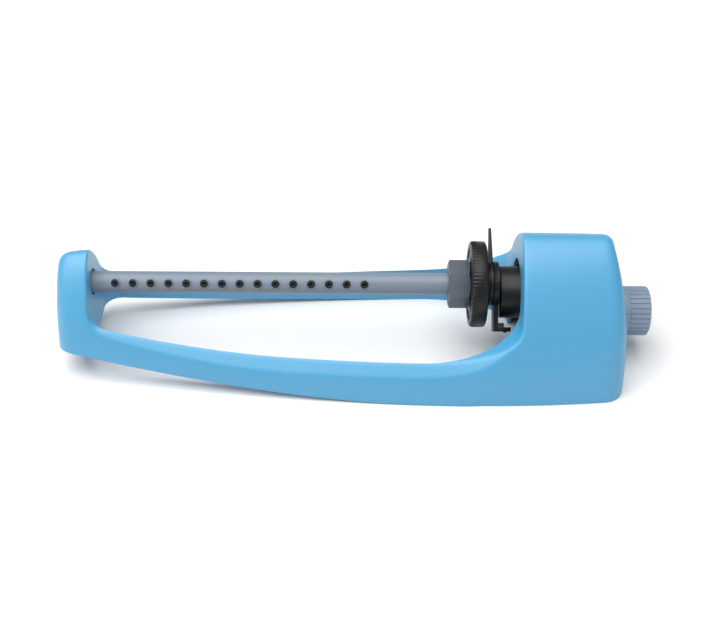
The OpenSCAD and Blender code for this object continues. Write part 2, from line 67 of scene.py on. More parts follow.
# Places read from the frame: each box is a low and a high corner
SLED_LOW, SLED_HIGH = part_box("frame")
TUBE_LOW, TUBE_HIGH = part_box("spray_tube")
NUT_LOW, NUT_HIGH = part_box("coupling_nut")
DIAL_LOW, DIAL_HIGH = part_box("flow_dial")
FIN_LOW, FIN_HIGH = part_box("stop_ring_fin")
TAB_LOW, TAB_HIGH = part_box("stop_ring_thumb")
NOSE_LOW, NOSE_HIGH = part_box("gear_case_cover")
BUSH_LOW, BUSH_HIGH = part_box("end_bush")
HOSE_LOW, HOSE_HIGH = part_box("hose_nut")
SHAFT_LOW, SHAFT_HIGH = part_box("drive_shaft")
AXIS_Z = (DIAL_LOW[2] + DIAL_HIGH[2]) / 2
INLET_Z = (HOSE_LOW[2] + HOSE_HIGH[2]) / 2


# ---------------------------------------------------------------- sizes


class SledSizes(PropertyGroup):
    wall: FloatProperty(name="Wall", description="Thickness of the moulded walls",
                        default=2.6 * MM, unit="LENGTH")
    head_width: FloatProperty(name="Head width", description="Width of the head at ground level",
                              default=80 * MM, unit="LENGTH")
    head_height: FloatProperty(name="Head height", description="Height of the head",
                               default=78.5 * MM, unit="LENGTH")
    head_length: FloatProperty(name="Head length", description="Length of the head",
                               default=24 * MM, unit="LENGTH")
    housing_length: FloatProperty(name="Housing length", description="Length of the housing",
                                  default=73.5 * MM, unit="LENGTH")
    rail_width: FloatProperty(name="Rail width", description="Footprint of one rail",
                              default=12.5 * MM, unit="LENGTH")
    crest_low: FloatProperty(name="Rail height", description="Height of the rails at their lowest",
                             default=28 * MM, unit="LENGTH")
    belly_lift: FloatProperty(name="Belly lift", description="Lift of the underside at the head",
                              default=25 * MM, unit="LENGTH")
    arch_radius: FloatProperty(name="Arch radius", description="Radius of the arch in the housing wall",
                               default=24 * MM, unit="LENGTH")
    arch_drop: FloatProperty(name="Arch drop", description="Depth of the arch's centre under the tube axis",
                             default=6.8 * MM, unit="LENGTH")
    sweep: FloatProperty(name="Sweep", description="Length of the sweep from the rails into the arch",
                         default=62 * MM, unit="LENGTH")
    rail_fall: FloatProperty(name="Rail fall", description="Outward slope of the rail tops",
                             default=math.radians(42), subtype="ANGLE")
    keel: FloatProperty(name="Keel", description="How much lower the underside is inside the rails",
                        default=0.2)
    bush_radius: FloatProperty(name="Bush radius", description="Radius of the bush in the head",
                               default=9.4 * MM, unit="LENGTH")
    crease: FloatProperty(name="Crease", description="Depth of the soft step across the housing's sides",
                          default=0.7 * MM, unit="LENGTH")
    softness: IntProperty(name="Edge softness", description="Smoothing passes that round the moulded edges",
                          default=26, min=0, max=60)
    grain: FloatProperty(name="Mesh grain", description="Edge length of the sled's mesh",
                         default=1.0 * MM, unit="LENGTH")


class TubeSizes(PropertyGroup):
    jets: IntProperty(name="Jets", description="Number of jets along the tube", default=15, min=3)
    tube_diameter: FloatProperty(name="Tube diameter", description="Outer diameter of the spray tube",
                                 default=15.2 * MM, unit="LENGTH")
    stub_diameter: FloatProperty(name="Stub diameter", description="Diameter of a raised jet seat",
                                 default=6.8 * MM, unit="LENGTH")
    insert_diameter: FloatProperty(name="Insert diameter", description="Diameter of a jet insert",
                                   default=5.6 * MM, unit="LENGTH")
    first: FloatProperty(name="First jet", description="Distance of the first jet from the head",
                         default=18.5 * MM, unit="LENGTH")
    plain: FloatProperty(name="Plain stretch", description="Distance of the last jet from the nut",
                         default=60 * MM, unit="LENGTH")
    rise: FloatProperty(name="Jet rise", description="Angle of the jets above the horizon at rest",
                        default=math.radians(32), subtype="ANGLE")
    fan: FloatProperty(name="Jet fan", description="Outward lean of the end jets",
                       default=math.radians(12), subtype="ANGLE")


class ControlSizes(PropertyGroup):
    chamfer: FloatProperty(name="Dial chamfer", description="Chamfer of the dial's rims",
                           default=1.8 * MM, unit="LENGTH")
    grips: IntProperty(name="Dial grips", description="Number of notches around the dial", default=72, min=12)
    hub_radius: FloatProperty(name="Dial hub", description="Radius of the hub behind the dial",
                              default=13.8 * MM, unit="LENGTH")
    shaft_radius: FloatProperty(name="Shaft radius", description="Radius of the drive shaft",
                                default=8 * MM, unit="LENGTH")
    fin_tilt: FloatProperty(name="Fin tilt", description="Direction of the fin in the upright plane",
                            default=math.radians(50), subtype="ANGLE")
    tab_tilt: FloatProperty(name="Tab tilt", description="Direction of the thumb tab in the upright plane",
                            default=math.radians(230), subtype="ANGLE")
    nut_flats: FloatProperty(name="Nut flats", description="Width of the coupling nut across its flats",
                             default=29.2 * MM, unit="LENGTH")
    nut_turn: FloatProperty(name="Nut turn", description="Direction of one corner of the coupling nut",
                            default=math.radians(56.4), subtype="ANGLE")
    hose_ribs: IntProperty(name="Hose nut ribs", description="Number of ribs around the hose nut",
                           default=30, min=8)


def colour_prop(name, text, rgb):
    """A colour as seen on a screen, kept as linear light."""
    return FloatVectorProperty(name=name, description=text, size=3, subtype="COLOR", min=0, max=1,
                               default=[linear(c / 255) for c in rgb])


def linear(c):
    return c / 12.92 if c <= 0.04045 else ((c + 0.055) / 1.055) ** 2.4


class Finishes(PropertyGroup):
    sled_blue: colour_prop("Sled blue", "Colour of the moulded sled", (66, 150, 192))
    tube_grey: colour_prop("Tube grey", "Colour of the spray tube", (116, 128, 141))
    hex_grey: colour_prop("Hex grey", "Colour of the coupling nut", (80, 88, 99))
    hose_grey: colour_prop("Hose grey", "Colour of the hose nut", (132, 147, 165))
    control_black: colour_prop("Control black", "Colour of the dial, rings and motor", (9, 9, 11))
    jet_black: colour_prop("Jet black", "Colour of the jet inserts", (18, 18, 20))
    acetal: colour_prop("Acetal", "Colour of the gears", (228, 226, 214))
    lever_orange: colour_prop("Lever orange", "Colour of the trip lever", (222, 122, 48))
    rubber: colour_prop("Rubber", "Colour of the seals", (28, 28, 29))
    steel: colour_prop("Steel", "Colour of the axles, screws and spring", (196, 199, 204))


class StageSettings(PropertyGroup):
    elevation: FloatProperty(name="Elevation", description="Height of the camera above the horizon",
                             default=math.radians(40), subtype="ANGLE")
    distance: FloatProperty(name="Distance", description="Camera distance", default=0.878, unit="LENGTH")
    look_height: FloatProperty(name="Aim height", description="Height of the point in the picture's middle",
                               default=0.0244, unit="LENGTH")
    roll: FloatProperty(name="Roll", description="Turn of the camera about its own axis",
                        default=math.radians(0.38), subtype="ANGLE")
    lens: FloatProperty(name="Lens", description="Focal length in millimetres", default=62.3)


def sizes(name):
    return getattr(bpy.context.scene, "sprinkler_" + name)


# ---------------------------------------------------------------- modelling tools


def deselect():
    if bpy.context.object and bpy.context.object.mode != "OBJECT":
        bpy.ops.object.mode_set(mode="OBJECT")
    bpy.ops.object.select_all(action="DESELECT")


def pick(obj):
    deselect()
    obj.select_set(True)
    bpy.context.view_layer.objects.active = obj


def edit(obj, *steps):
    """Runs edit-mode steps on the whole of obj; each is an operator and its settings."""
    pick(obj)
    bpy.ops.object.mode_set(mode="EDIT")
    bpy.ops.mesh.select_all(action="SELECT")
    for step, settings in steps:
        step(**settings)
    bpy.ops.object.mode_set(mode="OBJECT")


def tidy_mesh(obj, merge=0.01 * MM):
    edit(obj, (bpy.ops.mesh.remove_doubles, {"threshold": merge}),
         (bpy.ops.mesh.normals_make_consistent, {"inside": False}))


def modify(obj, kind, **settings):
    """Adds a modifier with its settings and applies it."""
    pick(obj)
    mod = obj.modifiers.new(kind.title(), kind)
    for key, value in settings.items():
        setattr(mod, key, value)
    bpy.ops.object.modifier_apply(modifier=mod.name)


def combine(obj, other, operation="DIFFERENCE", keep=False):
    """Cuts other out of obj, or joins it on."""
    modify(obj, "BOOLEAN", operation=operation, object=other, solver="MANIFOLD")
    if not keep:
        bpy.data.objects.remove(other, do_unlink=True)
    return obj


def soften(obj, width, segments=2, angle=32):
    """Rounds the sharp edges and sets smooth shading between them."""
    modify(obj, "BEVEL", width=width, segments=segments, limit_method="ANGLE",
           angle_limit=math.radians(angle), use_clamp_overlap=True, miter_outer="MITER_ARC")
    shade(obj)


def shade(obj, angle=35):
    pick(obj)
    bpy.ops.object.shade_smooth_by_angle(angle=math.radians(angle))


def place(obj, matrix):
    obj.data.transform(matrix)
    if matrix.determinant() < 0:
        obj.data.flip_normals()
    return obj


def outline(name, points):
    """A closed flat loop through the points, made from a circle."""
    deselect()
    bpy.ops.mesh.primitive_circle_add(vertices=len(points), radius=1, fill_type="NOTHING")
    obj = bpy.context.object
    obj.name = name
    obj.data.vertices.foreach_set("co", [c for p in points for c in p])
    return obj


def slab(name, points, reach):
    """Fills a loop and extrudes it along the vector reach."""
    obj = outline(name, points)
    edit(obj, (bpy.ops.mesh.edge_face_add, {}),
         (bpy.ops.mesh.extrude_region_move, {"TRANSFORM_OT_translate": {"value": reach}}))
    tidy_mesh(obj)
    return obj


def lathe(name, profile, x, y, z, steps=96):
    """Spins a profile of (distance along X, radius) points about an axis along X."""
    obj = outline(name, [(x + a, y, z + r) for a, r in profile])
    edit(obj, (bpy.ops.mesh.spin, {"steps": steps, "angle": math.tau, "center": (0, y, z),
                                   "axis": (1, 0, 0)}))
    tidy_mesh(obj)
    return obj


def loft(name, sections):
    """A solid through closed sections that follow each other, wrapped from a grid."""
    along, around = len(sections) - 1, len(sections[0])
    deselect()
    bpy.ops.mesh.primitive_grid_add(x_subdivisions=along, y_subdivisions=around, size=2)
    obj = bpy.context.object
    obj.name = name
    for v in obj.data.vertices:
        i = round((v.co.x + 1) / 2 * along)
        j = round((v.co.y + 1) / 2 * around) % around
        v.co = sections[i][j]
    edit(obj, (bpy.ops.mesh.remove_doubles, {"threshold": 0.002 * MM}),
         (bpy.ops.mesh.fill_holes, {"sides": 0}))
    tidy_mesh(obj, 0.002 * MM)
    return obj


def rod(x, y, z, r, length, steps=96):
    return lathe("rod", [(0, 0), (length, 0), (length, r), (0, r)], x, y, z, steps)


def block(low, high):
    deselect()
    bpy.ops.mesh.primitive_cube_add(size=1)
    obj = bpy.context.object
    low, high = Vector(low), Vector(high)
    place(obj, Matrix.Translation((low + high) / 2) @ Matrix.Diagonal((*(high - low), 1)))
    return obj


def arc(cx, cy, r, start, stop, steps):
    """Points of an arc, with its angles in degrees."""
    turn = [math.radians(start + (stop - start) * i / steps) for i in range(steps + 1)]
    return [(cx + r * math.cos(a), cy + r * math.sin(a)) for a in turn]


def spread(a, b, steps):
    return [a + (b - a) * i / steps for i in range(steps + 1)]


def finish_piece(obj, name, body, slot, material, *nodes):
    """Names the piece, gives it its finish and ties it to the frame."""
    obj.name = name
    obj.data.name = name
    obj.data.materials.clear()
    obj.data.materials.append(material)
    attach(obj, body)
    if nodes:
        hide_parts(*nodes)
    return obj


# ---------------------------------------------------------------- finishes


class Sock:
    """A shader socket that takes part in sums."""

    def __init__(self, shader, socket):
        self.shader = shader
        self.socket = socket

    def _math(self, operation, a, b):
        return self.shader.node("ShaderNodeMath", {"operation": operation}, {0: a, 1: b})

    def __add__(self, other):
        return self._math("ADD", self, other)

    def __radd__(self, other):
        return self._math("ADD", other, self)

    def __sub__(self, other):
        return self._math("SUBTRACT", self, other)

    def __rsub__(self, other):
        return self._math("SUBTRACT", other, self)

    def __mul__(self, other):
        return self._math("MULTIPLY", self, other)

    def __rmul__(self, other):
        return self._math("MULTIPLY", other, self)

    def __pow__(self, other):
        return self._math("POWER", self, other)


class Shader:
    """One material's node tree, written as expressions."""

    def __init__(self, name):
        self.material = bpy.data.materials.new(name)
        self.material.use_nodes = True
        self.tree = self.material.node_tree
        self.principled = next(n for n in self.tree.nodes if n.type == "BSDF_PRINCIPLED")
        self.place = self.node("ShaderNodeTexCoord", {}, {}, "Object")

    def node(self, kind, settings, inputs, output=0):
        made = self.tree.nodes.new(kind)
        for key, value in settings.items():
            setattr(made, key, value)
        for key, value in inputs.items():
            if isinstance(value, Sock):
                self.tree.links.new(value.socket, made.inputs[key])
            else:
                made.inputs[key].default_value = value
        return Sock(self, made.outputs[output])

    def noise(self, scale, detail=2.0, rough=0.5, where=None):
        return self.node("ShaderNodeTexNoise", {},
                         {"Vector": where or self.place, "Scale": scale, "Detail": detail, "Roughness": rough})

    def stretched(self, x, y, z):
        return self.node("ShaderNodeMapping", {}, {"Vector": self.place, "Scale": (x, y, z)})

    def band(self, value, low, high):
        """0 below low, 1 above high, and a smooth step between."""
        return self.node("ShaderNodeMapRange", {"interpolation_type": "SMOOTHSTEP"},
                         {"Value": value, "From Min": low, "From Max": high})

    def mix(self, factor, a, b):
        made = self.tree.nodes.new("ShaderNodeMix")
        made.data_type = "RGBA"
        for index, value in ((0, factor), (6, a), (7, b)):
            if isinstance(value, Sock):
                self.tree.links.new(value.socket, made.inputs[index])
            else:
                made.inputs[index].default_value = value
        return Sock(self, made.outputs[2])

    def bump(self, height, distance, strength=1.0, normal=None):
        inputs = {"Height": height, "Distance": distance, "Strength": strength}
        if normal:
            inputs["Normal"] = normal
        return self.node("ShaderNodeBump", {}, inputs)

    def set(self, **sockets):
        for key, value in sockets.items():
            target = self.principled.inputs[key.replace("_", " ")]
            if isinstance(value, Sock):
                self.tree.links.new(value.socket, target)
            else:
                target.default_value = value
        return self.material


def tone(colour, gain):
    """The colour, lighter or darker, with its alpha."""
    return (*[min(1.0, c * gain) for c in colour], 1.0)


def moulded_sled():
    """Satin moulded polypropylene: fine spark-eroded grain, faint flow marks and light scuffs low down."""
    s = Shader("sled_blue_moulded")
    blue = sizes("finishes").sled_blue
    cloud = s.noise(9, 3)
    flow = s.noise(14, 2, where=s.stretched(1, 5, 5))
    grain = s.noise(2600, 2)
    pores = s.noise(900, 3)
    scuff = s.band(s.noise(160, 6, 0.7, where=s.stretched(0.35, 1, 1.6)), 0.66, 0.74)
    low = 1 - s.band(s.node("ShaderNodeSeparateXYZ", {}, {0: s.place}, 2), 0.002, 0.022)
    base = s.mix(cloud, tone(blue, 0.94), tone(blue, 1.06))
    base = s.mix(flow * 0.35, base, tone(blue, 1.12))
    base = s.mix(scuff * (0.10 + low * 0.25), base, tone(blue, 1.5))
    rough = 0.40 + pores * 0.10 + scuff * 0.12 + low * 0.06
    height = grain * 0.6 + pores * 0.4
    normal = s.bump(height, 0.00006, 0.35, s.bump(flow, 0.0004, 0.12))
    return s.set(Base_Color=base, Roughness=rough, Normal=normal, IOR=1.55,
                 Coat_Weight=0.5, Coat_Roughness=0.4)


def grey_plastic(name, colour, lengthways=1.0):
    """Glass-filled grey plastic with fine streaks along the moulding's flow."""
    s = Shader(name)
    streak = s.noise(220, 4, 0.6, where=s.stretched(0.06 * lengthways, 1, 1))
    speck = s.band(s.noise(1500, 2), 0.62, 0.72)
    grain = s.noise(3000, 2)
    base = s.mix(streak, tone(colour, 0.90), tone(colour, 1.10))
    base = s.mix(speck * 0.20, base, tone(colour, 1.35))
    rough = 0.36 + streak * 0.16 + speck * 0.08
    normal = s.bump(grain + streak * 0.8, 0.00005, 0.35)
    return s.set(Base_Color=base, Roughness=rough, Normal=normal, IOR=1.5)


def black_plastic(name, colour, base_rough=0.34):
    """Black moulded nylon, slightly dusty, with hairline scratches."""
    s = Shader(name)
    cloud = s.noise(60, 4)
    hair = s.band(s.noise(420, 5, 0.65, where=s.stretched(0.12, 1, 1)), 0.64, 0.70)
    grain = s.noise(2800, 2)
    base = s.mix(cloud, tone(colour, 0.8), tone(colour, 1.25))
    base = s.mix(hair * 0.16, base, tone(colour, 4.0))
    rough = base_rough + cloud * 0.14 + hair * 0.14
    normal = s.bump(grain + hair * 0.5, 0.00004, 0.3)
    return s.set(Base_Color=base, Roughness=rough, Normal=normal, IOR=1.4)


def acetal(name, colour):
    """Waxy acetal with soft light passing into it."""
    s = Shader(name)
    cloud = s.noise(120, 3)
    grain = s.noise(2400, 2)
    base = s.mix(cloud, tone(colour, 0.93), tone(colour, 1.04))
    normal = s.bump(grain, 0.00004, 0.3)
    return s.set(Base_Color=base, Roughness=0.34 + cloud * 0.12, Normal=normal, IOR=1.48,
                 Coat_Weight=0.1)


def rubber():
    s = Shader("seal_rubber")
    colour = sizes("finishes").rubber
    bloom = s.noise(180, 4)
    base = s.mix(bloom, tone(colour, 0.8), tone(colour, 1.6))
    normal = s.bump(s.noise(1900, 3), 0.00006, 0.5)
    return s.set(Base_Color=base, Roughness=0.62 + bloom * 0.16, Normal=normal)


def steel():
    """Bright drawn wire and pressed screws, brushed along X."""
    s = Shader("bright_steel")
    colour = sizes("finishes").steel
    brush = s.noise(900, 3, where=s.stretched(0.04, 1, 1))
    base = s.mix(brush, tone(colour, 0.86), tone(colour, 1.05))
    normal = s.bump(brush, 0.00003, 0.4)
    return s.set(Base_Color=base, Roughness=0.20 + brush * 0.14, Metallic=1.0, Normal=normal)


_made = {}


def finish_for(slot):
    """Each material slot's finish, made once."""
    colours = sizes("finishes")
    makers = {
        "frame_blue": moulded_sled,
        "tube_grey": lambda: grey_plastic("tube_grey_satin", colours.tube_grey),
        "hex_grey": lambda: grey_plastic("hex_grey_satin", colours.hex_grey, 8),
        "hose_grey": lambda: grey_plastic("hose_grey_satin", colours.hose_grey, 8),
        "black_plastic": lambda: black_plastic("control_black_nylon", colours.control_black),
        "jet_black": lambda: black_plastic("jet_black_rubbery", colours.jet_black, 0.48),
        "gear_white": lambda: acetal("gear_acetal", colours.acetal),
        "lever_orange": lambda: acetal("lever_acetal", colours.lever_orange),
        "seal_rubber": rubber,
        "steel": steel,
    }
    if slot not in _made:
        _made[slot] = makers[slot]()
    return _made[slot]


# ---------------------------------------------------------------- the sled's shape


class SledShape:
    """The sled's surfaces as functions of the distance u from the end of the head, in metres."""

    def __init__(self):
        self.s = sizes("sled")
        self.length = SLED_HIGH[0] - SLED_LOW[0]
        self.half_width = (SLED_HIGH[1] - SLED_LOW[1]) / 2
        self.height = SLED_HIGH[2]
        self.x0 = SLED_LOW[0]
        self.u_wall = self.length - self.s.housing_length
        self.u_low = 0.43 * self.length
        self.u_wide = 0.757 * self.length
        self.u_belly = 0.674 * self.length
        self.power = 1.55
        self.end_radius = 13 * MM
        self.top_radius = 8 * MM

    def end_in(self, u, r):
        d = min(u, self.length - u)
        return 0 if d >= r else r - math.sqrt(max(0, r * r - (r - d) ** 2))

    def foot_half(self, u):
        head = self.s.head_width / 2
        behind = max(0, (u - self.u_wide) / (self.length - self.u_wide))
        rise = math.sin(math.pi / 2 * min(1, u / self.u_wide))
        return head + (self.half_width - head) * rise - 5.5 * MM * behind**2

    def top(self, u):
        rise = min(1, max(0, u / self.u_wide)) ** 0.6
        return self.s.head_height + (self.height - self.s.head_height) * rise

    def belly(self, u):
        return self.s.belly_lift * max(0, (self.u_belly - u) / self.u_belly) ** 1.75

    def crest(self, u):
        if u < self.u_low:
            rise = 11 * MM * ((self.u_low - u) / (self.u_low - self.s.head_length - 15 * MM)) ** 2
        else:
            rise = 10 * MM * ((u - self.u_low) / (self.u_wall - 15 * MM - self.u_low)) ** 7
        return self.s.crest_low + rise

    def lean(self, u, k):
        behind = (u - self.u_wide) / (self.length - self.u_wide)
        tilt = -10 * MM * behind if u > self.u_wide else 2 * MM * (1 - u / self.u_wide)
        return tilt * k**3

    def stepped_in(self, u, z):
        """How far the sides of the housing step in under a line that rises towards the end."""
        line = 6 * MM + 0.39 * (u - self.length + 91 * MM)
        under = min(1, max(0, (line - z) / (4 * MM) + 0.5))
        return self.s.crease * under * under * (3 - 2 * under)

    def skin_point(self, s, t, inset):
        """The skin at s along the sled and t round its section; the last stretch of t is the sole."""
        spread_s = s - 0.9 * math.sin(math.tau * s) / math.tau
        u = inset + spread_s * (self.length - 2 * inset)
        b = self.foot_half(u) - self.end_in(u, self.end_radius) - inset
        h = self.top(u) - self.end_in(u, self.top_radius) - inset
        sole = -1 * MM if inset else -6 * MM
        if t > 0.9:
            return (self.x0 + u, b * (2 * (t - 0.9) / 0.1 - 1), sole)
        a = math.pi * t / 0.9
        c = math.cos(a)
        y = b * math.copysign(abs(c) ** (2 / self.power), c)
        k = max(0, math.sin(a)) ** (2 / self.power)
        if not inset:
            y -= math.copysign(min(abs(y), self.stepped_in(u, h * k)), y)
        return (self.x0 + u + self.lean(u, k), y, max(h * k, sole) if k > 0.002 else sole)

    def skin(self, inset, along, around):
        """The skin as a grid wrapped round the sled and closed at both ends."""
        deselect()
        bpy.ops.mesh.primitive_grid_add(x_subdivisions=along, y_subdivisions=around, size=2)
        obj = bpy.context.object
        for v in obj.data.vertices:
            v.co = self.skin_point((v.co.x + 1) / 2, (v.co.y + 1) / 2, inset)
        edit(obj, (bpy.ops.mesh.remove_doubles, {"threshold": 0.002 * MM}),
             (bpy.ops.mesh.fill_holes, {"sides": 0}))
        tidy_mesh(obj, 0.002 * MM)
        return obj

    def above_rails(self, g):
        """Everything above the rails, between head and housing, grown by g, and falling away outwards."""
        s = self.s
        rh, rt = 10 * MM + g, 14 * MM + g
        near, far = s.head_length - g, self.u_wall + g
        uh = near + rh - rh * math.cos(math.radians(80))
        ut = far - rt + rt * math.cos(math.radians(55))
        edge = arc(near + rh, self.crest(uh) - g + rh * math.sin(math.radians(80)), rh, 180, 260, 16)
        edge += [(u, self.crest(u) - g) for u in spread(uh + 2 * MM, ut - 2 * MM, 90)]
        edge += arc(far - rt, self.crest(ut) - g + rt * math.sin(math.radians(55)), rt, -55, 0, 16)
        top, reach = self.height + 5 * MM, self.half_width + 5 * MM
        sections = []
        for u, z in edge:
            y = self.foot_half(u) - s.rail_width - g * math.tan(s.rail_fall / 2)
            low = z - (reach - y) * math.tan(s.rail_fall)
            sections.append([(self.x0 + u, *p) for p in ((reach, low), (reach, top), (-reach, top),
                                                         (-reach, low), (-y, z), (y, z))])
        return loft("above", sections)

    def between_rails(self, g):
        """The loop opening seen from above, grown by g; it sweeps in towards the arch."""
        s = self.s
        r = 14 * MM
        near = s.head_length - g
        turn = self.u_wall - s.sweep
        turn_y = self.foot_half(turn) - s.rail_width
        inner = lambda u: self.foot_half(u) - s.rail_width + g
        edge = arc(near + r, inner(near + r) - r, r, 180, 90, 16)
        edge += [(u, inner(u)) for u in spread(near + r + 4 * MM, turn - 2 * MM, 60)]
        edge += [(turn + (s.sweep + g) * math.sin(t), s.arch_radius + g + (turn_y - s.arch_radius) * math.cos(t))
                 for t in spread(0, math.pi / 2, 40)]
        edge += [(u, -y) for u, y in reversed(edge)]
        return slab("between", [(self.x0 + u, y, -10 * MM) for u, y in edge], (0, 0, self.height))

    def under_belly(self):
        """Everything under the rails and the head; it reaches lower inside the rails."""
        s = self.s
        reach, deep = self.half_width + 5 * MM, -10 * MM
        sections = []
        for u in spread(-1 * MM, self.u_belly, 90):
            y = self.foot_half(max(0, u)) - s.rail_width
            lift = self.belly(max(0, u))
            outer = lift * (1 - s.keel + s.keel * (reach - y) / s.rail_width)
            inner = lift * (1 - s.keel)
            sections.append([(self.x0 + u, *p) for p in ((reach, deep), (reach, outer), (y, inner),
                                                         (-y, inner), (-reach, outer), (-reach, deep))])
        return loft("under", sections)


class SPRINKLER_OT_sled(Operator):
    """Model the sled frame with its head, rails and housing"""

    bl_idname = "sprinkler.sled"
    bl_label = "Sled Frame"

    def execute(self, context):
        shape = SledShape()
        s = shape.s
        wall_x = shape.x0 + shape.u_wall
        obj = shape.skin(0, 280, 140)
        combine(obj, shape.above_rails(0))
        modify(obj, "REMESH", mode="VOXEL", voxel_size=s.grain, adaptivity=0)
        modify(obj, "SMOOTH", factor=0.5, iterations=s.softness)
        combine(obj, shape.between_rails(0))
        combine(obj, shape.under_belly())
        combine(obj, block((-0.3, -0.1, -20 * MM), (0.3, 0.1, 0)))
        hollow = shape.skin(s.wall, 150, 80)
        combine(hollow, shape.above_rails(s.wall))
        combine(hollow, shape.between_rails(s.wall))
        combine(obj, hollow)
        self.foot(obj, shape)
        arch_z = AXIS_Z - s.arch_drop
        combine(obj, rod(wall_x - 3 * MM, 0, arch_z, s.arch_radius, s.wall + 6 * MM))
        combine(obj, block((wall_x - 3 * MM, -s.arch_radius, -2 * MM),
                           (wall_x + s.wall + 3 * MM, s.arch_radius, arch_z)))
        inner_x = shape.x0 + s.head_length - s.wall
        combine(obj, rod(inner_x - 2 * MM, 0, AXIS_Z, s.bush_radius, s.wall + 4 * MM))
        combine(obj, rod(SLED_HIGH[0] - 12 * MM, 0, INLET_Z, 11.4 * MM, 16 * MM))
        shade(obj, 40)
        finish_piece(obj, "sled_frame", "base", "frame_blue", finish_for("frame_blue"), "frame")
        return {"FINISHED"}

    def foot(self, obj, shape):
        """Joins on the foot that carries the raised end."""
        near, far = shape.x0 + 2 * MM, shape.x0 + shape.s.head_length - 1 * MM
        top = AXIS_Z - shape.s.bush_radius - 3 * MM
        points = [(shape.x0 + 6 * MM, 0), (shape.x0 + 18 * MM, 0), (far, 18 * MM), (far, top),
                  (near, top), (near, 18 * MM)]
        foot = slab("foot", [(x, -8 * MM, z) for x, z in points], (0, 16 * MM, 0))
        modify(foot, "BEVEL", width=1.5 * MM, segments=3, limit_method="ANGLE")
        combine(obj, foot, "UNION")


# ---------------------------------------------------------------- spray tube


def jet_places():
    """Where each jet stands: a matrix that carries a shape on +Z out along the jet."""
    t = sizes("tube")
    rise = Matrix.Rotation(math.pi / 2 - t.rise, 4, "X")
    first = SLED_LOW[0] + sizes("sled").head_length + t.first
    last = NUT_LOW[0] - t.plain
    for i in range(t.jets):
        x = first + (last - first) * i / (t.jets - 1)
        lean = Matrix.Rotation(t.fan * (2 * i / (t.jets - 1) - 1), 4, "Y")
        yield Matrix.Translation((x, 0, AXIS_Z)) @ rise @ lean


def upright(name, profile, steps=32):
    """Spins (height, radius) points about Z."""
    obj = lathe(name, profile, 0, 0, 0, steps)
    return place(obj, Matrix.Rotation(-math.pi / 2, 4, "Y"))


class SPRINKLER_OT_tube(Operator):
    """Model the spray tube with its raised jet seats"""

    bl_idname = "sprinkler.tube"
    bl_label = "Spray Tube"

    def execute(self, context):
        t = sizes("tube")
        r = t.tube_diameter / 2
        length = TUBE_HIGH[0] - TUBE_LOW[0]
        bore = r - 2 * MM
        flange = 9.5 * MM
        profile = [(0, bore), (length, bore), (length, flange), (length - 2 * MM, flange),
                   (length - 2 * MM, r), (0.5 * MM, r), (0, r - 0.5 * MM)]
        obj = lathe("tube", profile, TUBE_LOW[0], 0, AXIS_Z, 128)
        stub_r = t.stub_diameter / 2
        top = r + 0.9 * MM
        for jet in jet_places():
            stub = upright("stub", [(bore + 0.3 * MM, 0), (bore + 0.3 * MM, stub_r), (top - 0.5 * MM, stub_r),
                                    (top - 0.15 * MM, stub_r - 0.15 * MM), (top, stub_r - 0.45 * MM),
                                    (top, 0)])
            combine(obj, place(stub, jet), "UNION")
        for jet in jet_places():
            hole = upright("hole", [(2 * MM, 0), (2 * MM, 2.8 * MM), (20 * MM, 2.8 * MM), (20 * MM, 0)])
            combine(obj, place(hole, jet))
        shade(obj, 38)
        finish_piece(obj, "spray_tube_moulded", "spray_arm", "tube_grey", finish_for("tube_grey"), "spray_tube")
        return {"FINISHED"}


class SPRINKLER_OT_jets(Operator):
    """Model the black jet inserts with their bores and domed rims"""

    bl_idname = "sprinkler.jets"
    bl_label = "Jet Inserts"

    def execute(self, context):
        t = sizes("tube")
        r = t.insert_diameter / 2
        foot = t.tube_diameter / 2 - 2 * MM
        top = t.tube_diameter / 2 + 1.7 * MM
        hole = 0.6 * MM
        profile = [(foot, hole), (foot, r), (top - 0.9 * MM, r), (top - 0.4 * MM, r - 0.2 * MM),
                   (top - 0.1 * MM, r - 0.6 * MM), (top, r - 1.1 * MM), (top, r - 1.5 * MM),
                   (top - 0.4 * MM, hole + 0.35 * MM), (top - 0.7 * MM, hole)]
        jets = [place(upright("jet", profile, 32), m) for m in jet_places()]
        deselect()
        for jet in jets:
            jet.select_set(True)
        bpy.context.view_layer.objects.active = jets[0]
        bpy.ops.object.join()
        shade(jets[0], 50)
        finish_piece(jets[0], "jet_inserts_moulded", "spray_arm", "jet_black", finish_for("jet_black"),
                     "jet_inserts")
        return {"FINISHED"}


# ---------------------------------------------------------------- controls


